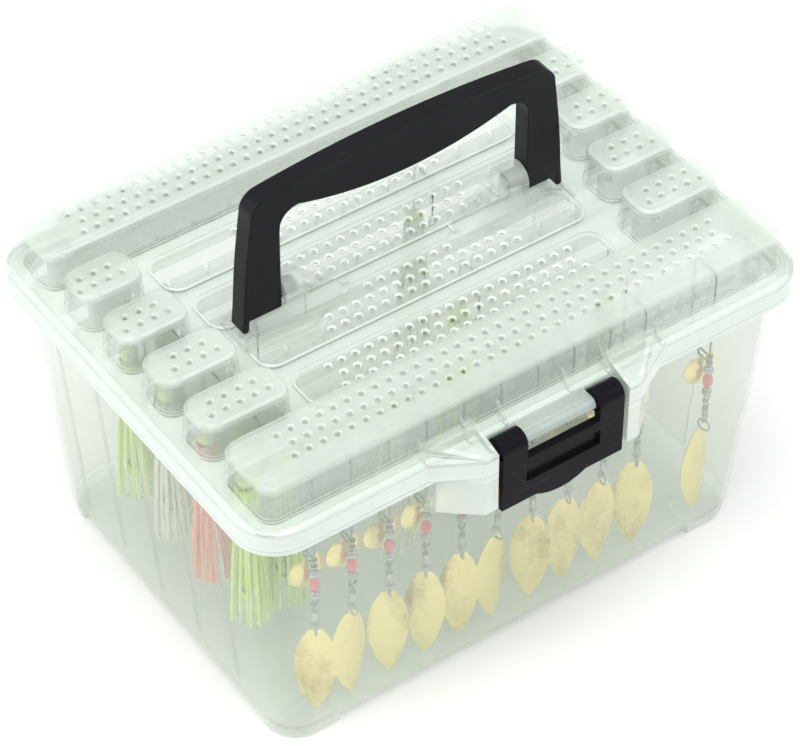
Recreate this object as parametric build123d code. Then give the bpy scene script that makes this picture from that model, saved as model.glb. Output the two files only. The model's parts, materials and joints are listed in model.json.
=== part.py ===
"""Hanging-bait tackle box: clear tub and hinged lid, black bail handle, black front latch,
six slotted bait racks, and the spinners and skirted jigs that hang from them.

Millimetres, +Z up. X is the width, the front faces -Y, and the origin is on the ground
under the middle of the tub, where its four corner feet stand.
"""
from build123d import *
import os

os.makedirs("parts", exist_ok=True)

# ---- driving dimensions -------------------------------------------------------------
RIM_WIDTH = 300.0
RIM_DEPTH = 224.0
RIM_RADIUS = 22.0
WALL = 2.0

FOOT_HEIGHT = 6.0
BASE_WIDTH = 264.0
BASE_DEPTH = 196.0
BASE_RADIUS = 18.0
MOUTH_WIDTH = 289.0
MOUTH_DEPTH = 213.0
MOUTH_RADIUS = 20.0
LIP_LOW = 146.0
LIP_HIGH = 149.0
TUB_TOP = 155.5

LID_GAP = 0.4
FLANGE_TOP = 159.5
FLANGE_LIFT = 2.0
STRIP_TOP = 161.4
STRIP_SHORT = 9.0
LID_SKIN = 1.8
GROOVE_DEEP = 0.6
RIDGE_TOP = 179.0
RIDGE_INSET = 8.0
RIDGE_DRAFT = 4.0
RIDGE_CORNER = 9.0
LANE_PITCH = 32.45
FIRST_STUB_FRONT = -59.0
STUB_DEPTH = 26.8
STUB_INNER_ENDS = (94.0, 99.0, 103.5, 107.0)
FRONT_RIDGE_BACK = -64.6
BACK_RIDGE_FRONT = 70.8

HOLE_PITCH = 7.3
HOLE_ROW = 7.0
HOLE_BORE = 2.3
HOLE_MOUTH = 4.6

HINGE_Y = 119.8
HINGE_Z = 150.0
HINGE_RADIUS = 4.6
HINGE_PIN = 3.0
HINGE_AT = 88.0
RUNNING_GAP = 0.05

HANDLE_Z = 178.0
HANDLE_THICK = 10.0
LEG_INNER = 67.0
TRUNNION = 8.4

LATCH_Y = -118.6
LATCH_Z = 156.3
LATCH_HALF = 33.0
LATCH_RADIUS = 5.8
LATCH_FRONT = -124.4
LATCH_LOW = 122.5
LATCH_PIN = 3.6
BAR_HALF = 18.5
BAR_DIAMETER = 7.0
CATCH_FRONT = -115.6
CATCH_TIP = -116.2

SLOT_PITCH = 20.0
SLOT_COUNT = 12
FRONT_LANE = -84.0
BACK_LANE = 87.4
RACK_THICK = 5.0


def save(name, solids):
    """Write one node: a single solid, or a group of separate ones."""
    parts = solids if isinstance(solids, (list, tuple, ShapeList)) else [solids]
    found = [s for part in parts for s in part.solids()]
    shape = found[0] if len(found) == 1 else Compound(children=found)
    export_step(shape, f"parts/{name}.step")
    print(f"{name:24s} {len(found):4d} solids {sum(s.volume for s in found):12.1f} mm3")


def span_box(x, y, z):
    """A box from three (low, high) ranges."""
    size = [high - low for low, high in (x, y, z)]
    middle = [(high + low) / 2 for low, high in (x, y, z)]
    return Pos(*middle) * Box(*size)


def slab(width, depth, radius, low, high, taper=0.0):
    """A prism on a rounded rectangle about the Z axis."""
    return Pos(0, 0, low) * extrude(RectangleRounded(width, depth, radius), high - low, taper=taper)


def funnel(low, high, inset=0.0):
    """The tapering outline of the tub between two heights, moved in by inset."""
    rise = TUB_TOP - FOOT_HEIGHT

    def outline(z):
        part = (z - FOOT_HEIGHT) / rise
        width = BASE_WIDTH + (MOUTH_WIDTH - BASE_WIDTH) * part - 2 * inset
        depth = BASE_DEPTH + (MOUTH_DEPTH - BASE_DEPTH) * part - 2 * inset
        radius = BASE_RADIUS + (MOUTH_RADIUS - BASE_RADIUS) * part - inset
        return Pos(0, 0, z) * RectangleRounded(width, depth, radius)

    return loft([outline(low), outline(high)], ruled=True)


def half_at(base, mouth, z):
    """Half of a tub dimension at height z."""
    return (base + (mouth - base) * (z - FOOT_HEIGHT) / (TUB_TOP - FOOT_HEIGHT)) / 2


def rod(start, end, diameter):
    """A round rod between two points."""
    line = Line(start, end)
    return extrude(Plane(line @ 0, z_dir=line % 0) * Circle(diameter / 2), line.length)


def prism_x(points, low, high):
    """A polygon of (y, z) points extruded along X from low to high."""
    face = make_face(Polyline(*[(low, y, z) for y, z in points], close=True))
    return extrude(face, high - low, dir=(1, 0, 0))


def prism_z(points, low, high):
    """A polygon of (x, y) points extruded along Z from low to high."""
    face = make_face(Polyline(*[(x, y, low) for x, y in points], close=True))
    return extrude(face, high - low, dir=(0, 0, 1))


def both_sides(shape):
    """A shape and its mirror image across the middle of the box."""
    return [shape, mirror(shape, about=Plane.YZ)]


def lane_front(index):
    """Front edge, at the valley, of stub ridge 0 to 3 from the front."""
    return FIRST_STUB_FRONT + index * LANE_PITCH


def lane_centres():
    """Y of the six racks, front to back."""
    middle = [lane_front(i) + STUB_DEPTH / 2 for i in range(4)]
    return [FRONT_LANE] + middle + [BACK_LANE]


# ---- tub ----------------------------------------------------------------------------
RIB_LENGTH = 3.0
RIB_THICK = 1.6
SEAT_HIGH = 139.0
SEAT_LENGTH = 7.0


def latch_bracket(low, high, wall_y):
    """One hollow wedge that guards the left end of the latch, open underneath."""
    outline = [(-66.0, wall_y), (-42.0, LATCH_FRONT), (-35.4, LATCH_FRONT), (-35.4, wall_y)]
    hollow = [(-61.0, wall_y), (-41.3, LATCH_FRONT + 1.8), (-37.2, LATCH_FRONT + 1.8), (-37.2, wall_y)]
    return prism_z(outline, low, high) - prism_z(hollow, low, high - 1.8)


def end_wall_ribs():
    """Thin guide ribs between the lanes, on the left end wall."""
    ribs = []
    for i in range(5):
        y = FIRST_STUB_FRONT + i * LANE_PITCH + 1.0
        low_x = -half_at(BASE_WIDTH, MOUTH_WIDTH, 14) + 0.5
        high_x = -half_at(BASE_WIDTH, MOUTH_WIDTH, 134) + 0.5
        corners = [(low_x, 14), (low_x + RIB_LENGTH, 14), (high_x + RIB_LENGTH, 134), (high_x, 134)]
        face = make_face(Polyline(*[(x, y, z) for x, z in corners], close=True))
        ribs.append(extrude(face, RIB_THICK, dir=(0, 1, 0)))
    return ribs


def rack_seats():
    """Ledges with side cheeks, on the left end wall, that the rack ends drop into."""
    seats = []
    wall = -half_at(BASE_WIDTH, MOUTH_WIDTH, SEAT_HIGH) + 0.5
    for y in lane_centres():
        seats.append(span_box((wall, wall + SEAT_LENGTH), (y - 5.2, y + 5.2), (SEAT_HIGH - 3, SEAT_HIGH)))
        for side in (-1, 1):
            cheek = sorted((y + side * 3.4, y + side * 5.2))
            seats.append(span_box((wall, wall + SEAT_LENGTH), cheek, (SEAT_HIGH - 1, SEAT_HIGH + 9)))
    return seats


def tub_hinge_knuckles():
    """Two knuckles at each end of the left hinge, on arms from the lip."""
    knuckles = []
    for centre in (-HINGE_AT - 14, -HINGE_AT + 14):
        x = (centre - 6, centre + 6)
        arm = [(106, 140), (HINGE_Y + 1, 146.2), (HINGE_Y, HINGE_Z), (HINGE_Y - 5.4, LIP_HIGH - 0.2),
               (106, LIP_HIGH - 0.2)]
        knuckles.append(prism_x(arm, *x))
        knuckles.append(rod((x[0], HINGE_Y, HINGE_Z), (x[1], HINGE_Y, HINGE_Z), 2 * HINGE_RADIUS))
    return knuckles


def make_tub():
    shell = funnel(FOOT_HEIGHT, TUB_TOP)
    shell = fillet(shell.faces().sort_by(Axis.Z)[0].edges(), 4.0)
    lip = slab(RIM_WIDTH, RIM_DEPTH, RIM_RADIUS, LIP_LOW, LIP_HIGH)
    lip = chamfer(lip.faces().sort_by(Axis.Z)[0].edges(), 0.8)
    foot_zone = span_box((101, 140), (78, 110), (0, FOOT_HEIGHT + 4.2))
    pads = slab(BASE_WIDTH - 3, BASE_DEPTH - 3, BASE_RADIUS - 1.5, 0, FOOT_HEIGHT + 4.2)
    pads = fillet(pads.faces().sort_by(Axis.Z)[0].edges(), 2.0)
    feet = []
    for side_x in (1, -1):
        for side_y in (1, -1):
            zone = foot_zone
            if side_x < 0:
                zone = mirror(zone, about=Plane.YZ)
            if side_y < 0:
                zone = mirror(zone, about=Plane.XZ)
            feet.append(pads & zone)
    ledge_wall = -half_at(BASE_DEPTH, MOUTH_DEPTH, 137) + 0.5
    ledge = prism_x([(ledge_wall, 132.6), (CATCH_FRONT, 132.6), (CATCH_FRONT, 134.6), (ledge_wall, 139.5)],
                    -24, 24)
    outside = [lip, ledge] + feet
    bracket = latch_bracket(126.0, LIP_HIGH, -104.4)
    for piece in [bracket] + tub_hinge_knuckles():
        outside += both_sides(piece)
    body = shell + outside
    body -= funnel(FOOT_HEIGHT + WALL + 0.2, TUB_TOP + 0.001, inset=WALL)
    inside = []
    for piece in end_wall_ribs() + rack_seats():
        inside += both_sides(piece)
    body += inside
    pin_bore = rod((-HINGE_AT - 25, HINGE_Y, HINGE_Z), (-HINGE_AT + 25, HINGE_Y, HINGE_Z), HINGE_PIN)
    body -= both_sides(pin_bore)
    return body


def make_hinge_pins():
    pin = rod((-HINGE_AT - 20, HINGE_Y, HINGE_Z), (-HINGE_AT + 20, HINGE_Y, HINGE_Z), HINGE_PIN)
    return both_sides(pin)


# ---- racks --------------------------------------------------------------------------
RACK_END = 132.0
FULL_RACK_TOP = 166.5
LOW_RACK_TOP = 154.0
SLOT_DEEP = 5.0


def slot_x(index):
    """X of a hanging slot, 0 to SLOT_COUNT - 1 from the left."""
    return (index - (SLOT_COUNT - 1) / 2) * SLOT_PITCH


def rack_top(lane, x):
    """Height of a rack at x: the four middle racks stay low under the handle recess."""
    if lane in (0, 5) or abs(x) > STUB_INNER_ENDS[lane - 1] + 5:
        return FULL_RACK_TOP
    return LOW_RACK_TOP


def make_rack(lane):
    """A slotted bar on its edge; its ends drop into the seats on the end walls."""
    y = lane_centres()[lane]
    half = half_at(BASE_WIDTH, MOUTH_WIDTH, SEAT_HIGH) - WALL - 1.0
    thick = (y - RACK_THICK / 2, y + RACK_THICK / 2)
    across = (y - 9, y + 9)
    body = span_box((-half, half), thick, (SEAT_HIGH + 0.2, LOW_RACK_TOP))
    inner = 0 if lane in (0, 5) else STUB_INNER_ENDS[lane - 1] + 5
    body += both_sides(span_box((-RACK_END, -inner), thick, (LOW_RACK_TOP - 1, FULL_RACK_TOP)))
    foot = span_box((-half + 8, half - 8), (y - 6.5, y + 6.5), (SEAT_HIGH - 6.0, SEAT_HIGH + 0.6))
    body += chamfer(foot.faces().sort_by(Axis.Z)[0].edges(), 0.8)
    cuts = []
    for i in range(SLOT_COUNT):
        top = rack_top(lane, slot_x(i))
        cuts.append(span_box((slot_x(i) - 1.2, slot_x(i) + 1.2), across, (top - SLOT_DEEP, top + 1)))
    for i in range(SLOT_COUNT - 1):
        middle = slot_x(i) + SLOT_PITCH / 2
        cuts.append(span_box((middle - 5, middle + 5), across, (SEAT_HIGH + 3.0, LOW_RACK_TOP - 6.5)))
    return body - cuts


# ---- lures --------------------------------------------------------------------------
WIRE = 1.0
ARM_REACH = 7.5
LOOP_Z = 83.0
EYE = 1.8
EYE_WIRE = 0.9
BEAD = 5.0
RED_BEAD_LONG = 8.6
DISC = 19.0
HEAD_LOW = 112.0
HEAD = 9.0
JIG_LOOP_Z = 124.0
SPINNER_TAIL_Z = 112.0
# spinners on the front rack: slot from the left, and how far the long blade is turned
SPINNERS = [(0, -29), (1, 4), (2, -26), (3, -30), (4, -22), (5, 8), (6, -30), (7, -14), (8, -8), (9, -27), (11, 14)]
# skirted jigs on the racks behind: rack from the front, and slot from the left
JIGS = [(1, 0), (1, 1), (1, 4), (2, 0), (2, 1), (2, 7), (3, 0), (3, 2), (4, 0), (4, 1), (1, 10), (4, 8)]


def ring(y_axis, centre, major, wire):
    """A closed wire ring whose axis is X, or Y where y_axis is true."""
    turn = Rot(90, 0, 0) if y_axis else Rot(0, 90, 0)
    return Pos(*centre) * turn * Torus(major, wire / 2)


def lure_wire(x, y, top, loop_z, tail_z):
    """The bent wire: front arm with its end loop, over the rack slot, and the back arm."""
    rest = top - SLOT_DEEP + WIRE / 2 + 0.2
    front, back = y - ARM_REACH, y + ARM_REACH
    path = FilletPolyline((x, front, loop_z + EYE), (x, front, rest), (x, back, rest), (x, back, tail_z), radius=3.5)
    start = Plane(path @ 0, z_dir=path % 0)
    return sweep(start * Circle(WIRE / 2), path=path) + ring(True, (x, front, loop_z), EYE, EYE_WIRE)


def bored_bead(x, y, z, length):
    bead = scale(Sphere(BEAD / 2), by=(1, 1, length / BEAD))
    return Pos(x, y, z) * bead - rod((x, y, z - length), (x, y, z + length), WIRE + 2 * RUNNING_GAP)


def clevis(x, y):
    """A strap with two eyelets on the wire; its lower leg carries the small blade."""
    legs = [span_box((x - 0.4, x + 0.4), (y + 1.2, y + 8.6), (z - 0.4, z + 0.4)) for z in (106.5, 110.5)]
    bow = span_box((x - 0.4, x + 0.4), (y + 7.8, y + 8.6), (106.1, 110.9))
    eyelets = [rod((x, y, z - 0.4), (x, y, z + 0.4), 3.4) for z in (106.5, 110.5)]
    return (bow + legs + eyelets) - rod((x, y, 104), (x, y, 113), WIRE + 2 * RUNNING_GAP)


def small_blade(x, y):
    """Round cupped blade that hangs behind the beads."""
    cup = Pos(0, 16.0, 0) * (Sphere(16.6) - Sphere(16.0))
    disc = cup & (Rot(90, 0, 0) * Cylinder(DISC / 2, 8))
    disc -= Pos(0, 0, 7.4) * Rot(90, 0, 0) * Cylinder(1.1, 8)
    return Pos(x, y + 4.2, 98.6) * disc


def swivel(x, y, yaw):
    """Barrel swivel: upper eye, barrel with collars, and a lower eye turned with the blade."""
    upper = LOOP_Z - 2 * EYE + EYE_WIRE + 0.05
    barrel_top = upper - EYE - EYE_WIRE / 2 + 0.3
    barrel = Cylinder(1.6, 5.0) + Pos(0, 0, 2.9) * Cylinder(1.0, 1.4) + Pos(0, 0, -2.9) * Cylinder(1.0, 1.4)
    lower = barrel_top - 7.2 - EYE - EYE_WIRE / 2 + 0.6
    body = Pos(0, 0, barrel_top - 3.6) * barrel
    eyes = [ring(False, (0, 0, upper), EYE, EYE_WIRE), Rot(0, 0, yaw) * ring(True, (0, 0, lower), EYE, EYE_WIRE)]
    return Pos(x, y, 0) * (body + eyes), lower


def willow_blade(top):
    """Long leaf blade, cupped across its width, hanging from its upper hole."""
    right = Spline((0, top), (3.6, top - 2.3), (9.0, top - 16), (10.2, top - 28), (7.0, top - 46),
                   (0, top - 56.5))
    face = make_face([right, mirror(right, about=Plane.YZ)])
    leaf = extrude(Plane.XZ * face, 8, both=True)
    middle = top - 28
    cup = Pos(0, 30.0, middle) * (Cylinder(30.3, 70) - Cylinder(29.7, 70))
    front = Pos(0, 0, middle) * Box(24, 8, 70)
    return (leaf & cup & front) - Pos(0, 0, top - 2.9) * Rot(90, 0, 0) * Cylinder(1.3, 8)


def head(x, y):
    ball = Pos(x, y, HEAD_LOW + 4) * Sphere(HEAD / 2) + Pos(x, y, HEAD_LOW + 1.5) * Cylinder(2.6, 3.0)
    ball &= span_box((x - 9, x + 9), (y - 9, y + 9), (HEAD_LOW, HEAD_LOW + 20))
    return ball - rod((x, y, HEAD_LOW + 5), (x, y, HEAD_LOW + 20), WIRE + 2 * RUNNING_GAP)


def hook(x, y):
    path = [Line((x, y, HEAD_LOW), (x, y, 41)), ThreePointArc((x, y, 41), (x, y + 5, 36), (x, y + 10, 41)),
            Line((x, y + 10, 41), (x, y + 10, 45))]
    wire = Wire([e for piece in path for e in piece.edges()])
    return sweep(Plane((x, y, HEAD_LOW), z_dir=(0, 0, -1)) * Circle(0.6), path=wire)


def skirt(x, y):
    """The outer shape of a frayed rubber skirt, open underneath."""
    outer = [(3.4, 111.8), (4.4, 106), (7.6, 80), (9.2, 50)]
    inner = [(8.0, 50), (6.4, 80), (3.4, 105), (2.9, 111.8)]
    profile = make_face(Polyline(*[(r, 0, z) for r, z in outer + inner], close=True))
    return Pos(x, y, 0) * revolve(profile, Axis.Z)


def make_lures():
    """Every lure, sorted into groups of like pieces."""
    names = ("lure_wires", "silver_beads", "red_beads", "clevises", "small_blades", "swivels", "split_rings",
             "willow_blades", "lead_heads", "hooks", "skirts")
    groups = {name: [] for name in names}
    y = lane_centres()[0]
    for slot, yaw in SPINNERS:
        x, front = slot_x(slot), y - ARM_REACH
        groups["lure_wires"].append(lure_wire(x, y, rack_top(0, x), LOOP_Z, SPINNER_TAIL_Z)
                                    + ring(True, (x, y + ARM_REACH, SPINNER_TAIL_Z - EYE), EYE, EYE_WIRE))
        first = LOOP_Z + EYE + 3.2
        groups["silver_beads"].append(bored_bead(x, front, first, BEAD))
        groups["red_beads"].append(bored_bead(x, front, first + 7.0, RED_BEAD_LONG))
        groups["silver_beads"].append(bored_bead(x, front, first + 14.0, BEAD))
        groups["clevises"].append(clevis(x, front))
        groups["small_blades"].append(small_blade(x, front))
        body, lower = swivel(x, front, yaw)
        groups["swivels"].append(body)
        split = 3.2
        split_z = lower - EYE + EYE_WIRE / 2 + 0.6 - split
        turned = Pos(x, front, 0) * Rot(0, 0, yaw)
        groups["split_rings"].append(turned * ring(False, (0, 0, split_z), split, 1.1))
        groups["willow_blades"].append(turned * willow_blade(split_z - split + 2.9))
    for lane, slot in JIGS:
        x, y = slot_x(slot), lane_centres()[lane]
        back = y + ARM_REACH
        groups["lure_wires"].append(lure_wire(x, y, rack_top(lane, x), JIG_LOOP_Z, HEAD_LOW + 5))
        groups["lead_heads"].append(head(x, back))
        groups["hooks"].append(hook(x, back))
        groups["skirts"].append(skirt(x, back))
    return groups


# ---- lid ----------------------------------------------------------------------------
def ridge(x, y, top, shrink=0.0):
    """A ridge with drafted sides, rounded upright corners and a rounded top edge."""
    width = x[1] - x[0] - 2 * shrink
    depth = y[1] - y[0] - 2 * shrink
    low = FLANGE_TOP - 3.0
    face = RectangleRounded(width, depth, max(RIDGE_CORNER - shrink, 2.0))
    body = extrude(face, top - low, taper=RIDGE_DRAFT)
    rounding = min(3.0, (top + shrink - FLANGE_TOP) * 0.7) - shrink
    if rounding > 0:
        body = fillet(body.faces().sort_by(Axis.Z)[-1].edges(), rounding)
    return Pos((x[0] + x[1]) / 2, (y[0] + y[1]) / 2, low) * body


def ridge_ranges():
    """(x, y, top) of the ten ridges at their foot, and of the four low strips in the recess."""
    end = RIM_WIDTH / 2 - RIDGE_INSET
    edge = RIM_DEPTH / 2 - RIDGE_INSET
    ranges = [((-end, end), (-edge, FRONT_RIDGE_BACK), RIDGE_TOP), ((-end, end), (BACK_RIDGE_FRONT, edge), RIDGE_TOP)]
    for i, inner in enumerate(STUB_INNER_ENDS):
        y = (lane_front(i), lane_front(i) + STUB_DEPTH)
        strip = inner - STRIP_SHORT
        ranges += [((-end, -inner), y, RIDGE_TOP), ((inner, end), y, RIDGE_TOP), ((-strip, strip), y, STRIP_TOP)]
    return ranges


FAIRING_HALF = 6.5
FAIRING_REACH = 27.0
RIM_HIGH = 163.0


def drain_holes():
    """Countersunk drain holes: rows along the ridges and strips in the handle recess."""
    profile = make_face(Polyline((0, 0, -4), (HOLE_BORE / 2, 0, -4), (HOLE_BORE / 2, 0, -1.0),
                                 (HOLE_MOUTH / 2, 0, 0), (HOLE_MOUTH / 2, 0, 1), (0, 0, 1), close=True))
    cutter = revolve(profile, Axis.Z)
    spots = []

    def rows(x0, x1, centre, count, z):
        for row in range(count):
            y = centre + (row - (count - 1) / 2) * HOLE_ROW
            shift = HOLE_PITCH / 2 if row % 2 else 0.0
            number = int((x1 - x0 - shift) / HOLE_PITCH + 1e-6)
            for k in range(number + 1):
                spots.append((x0 + shift + k * HOLE_PITCH, y, z))

    rows(-116.8, 116.8, -82.0, 3, RIDGE_TOP)
    rows(-116.8, 116.8, 87.6, 3, RIDGE_TOP)
    for i, inner in enumerate(STUB_INNER_ENDS):
        centre = lane_front(i) + STUB_DEPTH / 2
        number = 4 if i == 0 else 3
        start = inner + 9.5
        rows(start, start + number * HOLE_PITCH, centre, 2, RIDGE_TOP)
        rows(-start - number * HOLE_PITCH, -start, centre, 2, RIDGE_TOP)
        reach = 65.7 if i == 0 else 51.1
        rows(-reach, reach, centre, 3, STRIP_TOP)
    clear = [(x, y, z) for x, y, z in spots if abs(y) > FAIRING_HALF + HOLE_MOUTH / 2 or abs(x) < FAIRING_REACH]
    return [Pos(*spot) * cutter for spot in clear]


def handle_boss():
    """Left pivot boss: a round-topped block with a fairing, the leg's rest block and a low pointed rim."""
    core = span_box((-66.4, -56.0), (-8.0, 8.0), (FLANGE_TOP - 1, HANDLE_Z))
    dome = rod((-66.4, 0, HANDLE_Z), (-56.0, 0, HANDLE_Z), 16.0)
    slope = [(-56.5, HANDLE_Z + 5), (-52, HANDLE_Z + 2), (-30, FLANGE_TOP + 0.3), (-30, FLANGE_TOP - 1),
             (-56.5, FLANGE_TOP - 1)]
    face = make_face(Polyline(*[(x, -FAIRING_HALF, z) for x, z in slope], close=True))
    fairing = extrude(face, 2 * FAIRING_HALF, dir=(0, 1, 0))
    fairing = fillet(fairing.edges().filter_by(Plane.XZ).sort_by(Axis.Z)[-6:], 1.5)
    block = span_box((-80.5, -66.0), (-6.5, 6.5), (FLANGE_TOP - 1, 169.4))
    outer = [(-90.0, -12.5), (-58.0, -15.5), (-27.0, 0.0), (-58.0, 15.5), (-90.0, 12.5)]
    inner = [(-88.6, -11.2), (-58.3, -14.0), (-30.2, 0.0), (-58.3, 14.0), (-88.6, 11.2)]
    rim = prism_z(outer, FLANGE_TOP - 1, RIM_HIGH) - prism_z(inner, FLANGE_TOP - 2, RIM_HIGH + 1)
    return [core, dome, fairing, block, rim]


def latch_mount():
    """The bar that the latch turns on, its webs and the gussets above the flange."""
    bar = rod((-BAR_HALF, LATCH_Y, LATCH_Z), (BAR_HALF, LATCH_Y, LATCH_Z), BAR_DIAMETER)
    reach = BAR_DIAMETER / 2
    web = prism_x([(-110.5, 151.5), (LATCH_Y, LATCH_Z - reach), (LATCH_Y, LATCH_Z + reach), (-110.5, 159.5)],
                  -BAR_HALF, BAR_HALF)
    pieces = [bar, web]
    for x in (-64.0, -41.0, -22.0, 13.0, 34.0, 64.0):
        pieces.append(prism_x([(-103.2, 159.0), (-111.6, 159.0), (-111.6, 160.2), (-104.4, 168.5), (-103.2, 168.5)],
                              x - 0.8, x + 0.8))
    return pieces


def lid_bracket():
    """Upper half of the left wedge, with its top sloping up to the ridge."""
    skirt = latch_bracket(LIP_HIGH + LID_GAP, FLANGE_TOP, -110.6)
    crown = latch_bracket(FLANGE_TOP - 1.8, 166.0, -103.4)
    slope = prism_x([(-130, 159.6), (-130, 175), (-103, 175), (-103, 165.4), (-112, 163.4), (-124.4, 159.6)],
                    -70, -30)
    return skirt + (crown - slope)


def lid_hinge_knuckle():
    """The lid's middle knuckle of the left hinge."""
    x = (-HINGE_AT - 7.6, -HINGE_AT + 7.6)
    arm = [(110.4, 150.2), (HINGE_Y, HINGE_Z - 1), (HINGE_Y + 1.5, HINGE_Z + 3.5), (HINGE_Y - 3, 157.5),
           (110.4, 159.0)]
    barrel = rod((x[0], HINGE_Y, HINGE_Z), (x[1], HINGE_Y, HINGE_Z), 2 * HINGE_RADIUS)
    return [prism_x(arm, *x), barrel]


def make_lid():
    low = LIP_HIGH + LID_GAP
    body = slab(RIM_WIDTH, RIM_DEPTH, RIM_RADIUS, low, FLANGE_TOP)
    body = fillet(body.faces().sort_by(Axis.Z)[-1].edges(), 2.0)
    ranges = ridge_ranges()
    body += [ridge(x, y, top) for x, y, top in ranges]
    groove = slab(RIM_WIDTH - 7.0, RIM_DEPTH - 7.0, RIM_RADIUS - 3.5, FLANGE_TOP - GROOVE_DEEP, FLANGE_TOP + 1)
    groove -= slab(RIM_WIDTH - 9.0, RIM_DEPTH - 9.0, RIM_RADIUS - 4.5, FLANGE_TOP - 1, FLANGE_TOP + 2)
    body -= groove
    hollow = slab(RIM_WIDTH - 2 * WALL, RIM_DEPTH - 2 * WALL, RIM_RADIUS - WALL, low - 1, FLANGE_TOP - FLANGE_LIFT)
    body -= [hollow] + [ridge(x, y, top - LID_SKIN, shrink=LID_SKIN) for x, y, top in ranges]
    extras = latch_mount()
    for piece in handle_boss() + [lid_bracket()] + lid_hinge_knuckle():
        extras += both_sides(piece)
    body += extras
    bores = []
    trunnion = rod((-66.5, 0, HANDLE_Z), (-57.6, 0, HANDLE_Z), TRUNNION + 2 * RUNNING_GAP)
    hinge_bore = rod((-HINGE_AT - 12, HINGE_Y, HINGE_Z), (-HINGE_AT + 12, HINGE_Y, HINGE_Z),
                     HINGE_PIN + 2 * RUNNING_GAP)
    bores += both_sides(trunnion) + both_sides(hinge_bore)
    bores.append(rod((-30, LATCH_Y, LATCH_Z), (30, LATCH_Y, LATCH_Z), LATCH_PIN + 2 * RUNNING_GAP))
    body -= bores
    return body - drain_holes()


# ---- handle -------------------------------------------------------------------------
def make_handle():
    """Bail handle standing upright: arched grip with a full underside, and splayed legs."""
    top = [(-86.8, 176), (-84.6, 207), (-82.0, 226), (-77.0, 238.6)]
    outer = Polyline(*[(x, 0, z) for x, z in top])
    arch = ThreePointArc(outer @ 1, (0, 0, 243.6), (77.0, 0, 238.6))
    outer_right = Polyline(*[(-x, 0, z) for x, z in reversed(top)])
    right_leg = Polyline((86.8, 0, 176), (88.0, 0, 165.2), (84.5, 0, 165.2), (82.0, 0, 171.6),
                         (LEG_INNER, 0, 171.6), (LEG_INNER, 0, 221.0), (61.0, 0, 228.0))
    belly = ThreePointArc(right_leg @ 1, (0, 0, 218.6), (-61.0, 0, 228.0))
    left_leg = Polyline((-61.0, 0, 228.0), (-LEG_INNER, 0, 221.0), (-LEG_INNER, 0, 171.6), (-82.0, 0, 171.6),
                        (-84.5, 0, 165.2), (-88.0, 0, 165.2), (-86.8, 0, 176))
    face = make_face(Wire([*outer.edges(), *arch.edges(), *outer_right.edges(), *right_leg.edges(),
                           *belly.edges(), *left_leg.edges()]))
    body = extrude(face, HANDLE_THICK / 2, both=True)
    rims = body.faces().sort_by(Axis.Y)[0].edges() + body.faces().sort_by(Axis.Y)[-1].edges()
    body = chamfer(rims, 1.2)
    trunnion = rod((-LEG_INNER - 4, 0, HANDLE_Z), (-58.2, 0, HANDLE_Z), TRUNNION)
    trunnion = chamfer(trunnion.faces().sort_by(Axis.X)[-1].edges(), 0.8)
    return body + both_sides(trunnion)


# ---- latch --------------------------------------------------------------------------
def make_latch():
    """Front latch: two knuckles, a slotted plate, an inner catch rib and a finger lip."""
    side = [(LATCH_FRONT, LATCH_LOW), (LATCH_FRONT, LATCH_Z), (LATCH_FRONT + 4.4, LATCH_Z), (-120.2, 150.0),
            (-121.4, 140.0), (-121.9, LATCH_LOW)]
    body = prism_x(side, -LATCH_HALF, LATCH_HALF)
    knuckle = rod((-LATCH_HALF, LATCH_Y, LATCH_Z), (LATCH_HALF, LATCH_Y, LATCH_Z), 2 * LATCH_RADIUS)
    body += knuckle
    body -= span_box((-BAR_HALF - 0.8, BAR_HALF + 0.8), (-130, -105), (148.3, 170))
    rib = prism_x([(-122.5, 126.5), (CATCH_TIP, 130.6), (CATCH_TIP, 131.8), (-122.5, 131.8)], -21, 21)
    lip_face = make_face([Line((-17, -123.6, LATCH_LOW + 1), (17, -123.6, LATCH_LOW + 1)),
                          ThreePointArc((17, -123.6, LATCH_LOW + 1), (0, -123.6, 117.4), (-17, -123.6, LATCH_LOW + 1))])
    lip = extrude(lip_face, 1.6, dir=(0, 1, 0))
    body += [rib, lip]
    body -= span_box((-20, 20), (-130, -122.6), (134.0, 142.4))
    for i in range(3):
        for side_x in (-1, 1):
            x = side_x * (24.0 + 3.0 * i)
            body += span_box((x - 0.6, x + 0.6), (LATCH_Y - 1.6, LATCH_Y + 1.6), (LATCH_Z + 5.0, LATCH_Z + 6.1))
    return body - rod((-30, LATCH_Y, LATCH_Z), (30, LATCH_Y, LATCH_Z), LATCH_PIN)


def make_latch_pin():
    return rod((-29.5, LATCH_Y, LATCH_Z), (29.5, LATCH_Y, LATCH_Z), LATCH_PIN)


# ---- build --------------------------------------------------------------------------
save("tub", make_tub())
save("hinge_pins", make_hinge_pins())
for rack in range(6):
    save(f"bait_rack_{rack + 1}", make_rack(rack))
for group, solids in make_lures().items():
    save(group, solids)
save("lid", make_lid())
save("handle", make_handle())
save("latch", make_latch())
save("latch_pin", make_latch_pin())
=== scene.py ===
"""Clear hanging-bait tackle box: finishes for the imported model, and the detailed handle,
latch, spinner blades and skirts that stand for their plain solids.

Metres, +Z up, the front faces -Y, and the origin is on the ground under the tub.
"""
import json
import math
import random

import bmesh
import bpy
from mathutils import Matrix, Vector


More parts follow.
